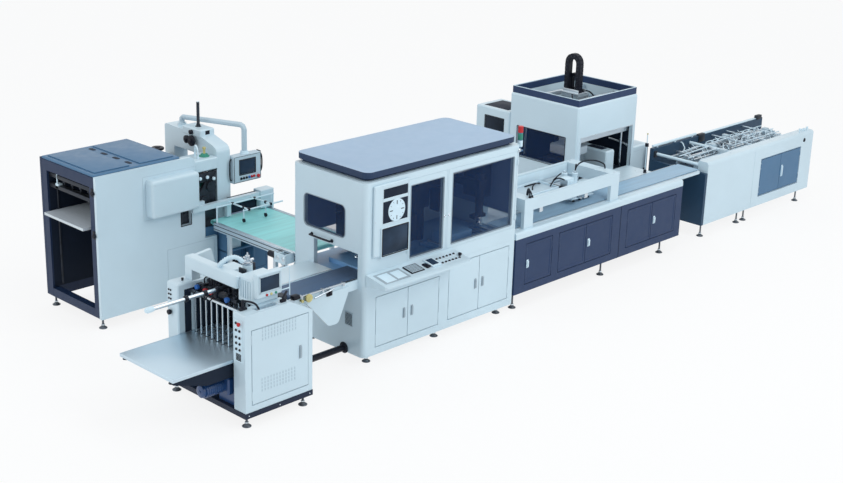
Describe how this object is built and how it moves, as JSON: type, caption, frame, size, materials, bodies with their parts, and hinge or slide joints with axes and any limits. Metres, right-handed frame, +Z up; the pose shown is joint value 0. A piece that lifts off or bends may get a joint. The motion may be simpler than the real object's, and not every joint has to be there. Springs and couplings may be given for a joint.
{
  "type": "rigid box making machine",
  "caption": "Rigid box making line: paper feeder and gluer, card feeder, glazed positioning machine, transfer table, box former and roller end unit, with hinged doors and lift tables.",
  "frame": {"origin": "middle of the line's footprint on the floor", "axes": "+X along the line from the card feeder to the end unit, +Y from the door side to the rear, +Z up"},
  "size_m": [11.4194, 4.011, 2.4177],
  "materials": {
    "white_enamel": "satin powder coat",
    "navy_enamel": "satin powder coat",
    "slate_enamel": "satin powder coat",
    "roof_gloss": "gloss enamel",
    "smoked_glass": "smoked acrylic pane",
    "bright_steel": "brushed",
    "aluminium": "anodised extrusion",
    "dark_steel": "oiled dark steel",
    "motor_enamel": "machine enamel",
    "black_plastic": "matt",
    "blue_belt": "woven-backed belt",
    "steel_blue_belt": "woven-backed belt",
    "green_belt": "smooth belt",
    "pale_board": "sealed board",
    "panel_grey": "fine texture"
  },
  "bodies": {
    "line": {"paper_feeder_frame": "navy_enamel", "paper_feeder_side_panel": "white_enamel", "paper_feeder_roof": "slate_enamel", "gluer_base": "slate_enamel", "gluer_bridge": "white_enamel", "gluer_rollers": "dark_steel", "gluer_exit_frame": "white_enamel", "paper_conveyor_belt": "green_belt", "paper_conveyor_frame": "aluminium", "card_feeder_base": "navy_enamel", "card_feeder_front_cabinet": "white_enamel", "card_feeder_rear_cabinet": "white_enamel", "card_table_drive": "motor_enamel", "pile_fence": "bright_steel", "suction_head": "dark_steel", "card_feeder_control_housing": "white_enamel", "card_conveyor_belt": "blue_belt", "card_conveyor_bed": "white_enamel", "card_feeder_duct": "black_plastic", "main_base_cabinet": "white_enamel", "main_enclosure": "white_enamel", "main_window_front_1": "smoked_glass", "main_window_front_2": "smoked_glass", "main_window_left": "smoked_glass", "main_roof": "roof_gloss", "main_console": "white_enamel", "main_control_panel": "white_enamel", "signal_tower": "slate_enamel", "main_robot": "dark_steel", "transfer_cabinet": "navy_enamel", "transfer_top": "white_enamel", "transfer_belt": "steel_blue_belt", "guard_frame": "white_enamel", "transfer_gantry": "aluminium", "former_body": "white_enamel", "former_band": "navy_enamel", "former_window": "smoked_glass", "former_press": "aluminium", "former_press_cover": "white_enamel", "former_energy_chain": "black_plastic", "former_side_cabinet": "white_enamel", "end_front_panel": "white_enamel", "end_rear_panel": "navy_enamel", "end_rollers": "bright_steel"},
    "paper_platform": {"paper_platform": "pale_board"},
    "operator_panel_arm": {"operator_panel_arm": "panel_grey"},
    "card_feeder_door": {"card_feeder_door": "white_enamel"},
    "card_table": {"card_table": "bright_steel", "card_table_apron": "navy_enamel"},
    "main_door_1": {"main_door_1": "white_enamel"},
    "main_door_2": {"main_door_2": "white_enamel"},
    "main_door_3": {"main_door_3": "white_enamel"},
    "main_door_4": {"main_door_4": "white_enamel"},
    "transfer_door_1": {"transfer_door_1": "navy_enamel"},
    "transfer_door_2": {"transfer_door_2": "navy_enamel"},
    "transfer_door_3": {"transfer_door_3": "navy_enamel"},
    "transfer_door_4": {"transfer_door_4": "navy_enamel"},
    "transfer_door_5": {"transfer_door_5": "navy_enamel"},
    "end_door_1": {"end_door_1": "slate_enamel"},
    "end_door_2": {"end_door_2": "slate_enamel"}
  },
  "joints": [
    {"name": "main_door_1_hinge", "type": "hinge", "parent": "line", "child": "main_door_1", "pos_m": [-3.0669, -1.7055, 0.4725], "axis": [0, 0, -1], "range_deg": [0, 90]},
    {"name": "main_door_2_hinge", "type": "hinge", "parent": "line", "child": "main_door_2", "pos_m": [-2.1234, -1.7055, 0.4725], "axis": [0, 0, 1], "range_deg": [0, 90]},
    {"name": "main_door_3_hinge", "type": "hinge", "parent": "line", "child": "main_door_3", "pos_m": [-1.9689, -1.7055, 0.521], "axis": [0, 0, -1], "range_deg": [0, 90]},
    {"name": "main_door_4_hinge", "type": "hinge", "parent": "line", "child": "main_door_4", "pos_m": [-0.9904, -1.7055, 0.521], "axis": [0, 0, 1], "range_deg": [0, 90]},
    {"name": "transfer_door_1_hinge", "type": "hinge", "parent": "line", "child": "transfer_door_1", "pos_m": [-0.2131, -1.7055, 0.54], "axis": [0, 0, 1], "range_deg": [0, 90]},
    {"name": "transfer_door_2_hinge", "type": "hinge", "parent": "line", "child": "transfer_door_2", "pos_m": [-0.0856, -1.7055, 0.54], "axis": [0, 0, -1], "range_deg": [0, 90]},
    {"name": "transfer_door_3_hinge", "type": "hinge", "parent": "line", "child": "transfer_door_3", "pos_m": [0.9319, -1.7055, 0.54], "axis": [0, 0, 1], "range_deg": [0, 90]},
    {"name": "transfer_door_4_hinge", "type": "hinge", "parent": "line", "child": "transfer_door_4", "pos_m": [1.2424, -1.7055, 0.54], "axis": [0, 0, -1], "range_deg": [0, 90]},
    {"name": "transfer_door_5_hinge", "type": "hinge", "parent": "line", "child": "transfer_door_5", "pos_m": [2.2669, -1.7055, 0.54], "axis": [0, 0, 1], "range_deg": [0, 90]},
    {"name": "end_door_1_hinge", "type": "hinge", "parent": "line", "child": "end_door_1", "pos_m": [4.3644, -1.6565, 0.586], "axis": [0, 0, -1], "range_deg": [0, 90]},
    {"name": "end_door_2_hinge", "type": "hinge", "parent": "line", "child": "end_door_2", "pos_m": [5.3869, -1.6565, 0.586], "axis": [0, 0, 1], "range_deg": [0, 90]},
    {"name": "card_feeder_door_hinge", "type": "hinge", "parent": "line", "child": "card_feeder_door", "pos_m": [-4.9359, -1.9795, 0.6], "axis": [0, 0, -1], "range_deg": [0, 90]},
    {"name": "operator_panel_swing", "type": "hinge", "parent": "line", "child": "operator_panel_arm", "pos_m": [-2.90965, 1.7545, 1.96], "axis": [0, 0, 1], "range_deg": [0, 90]},
    {"name": "card_table_lift", "type": "slide", "parent": "line", "child": "card_table", "axis": [0, 0, 1], "range_m": [-0.12, 0.35]},
    {"name": "paper_platform_lift", "type": "slide", "parent": "line", "child": "paper_platform", "axis": [0, 0, 1], "range_m": [-0.75, 0.25]}
  ]
}
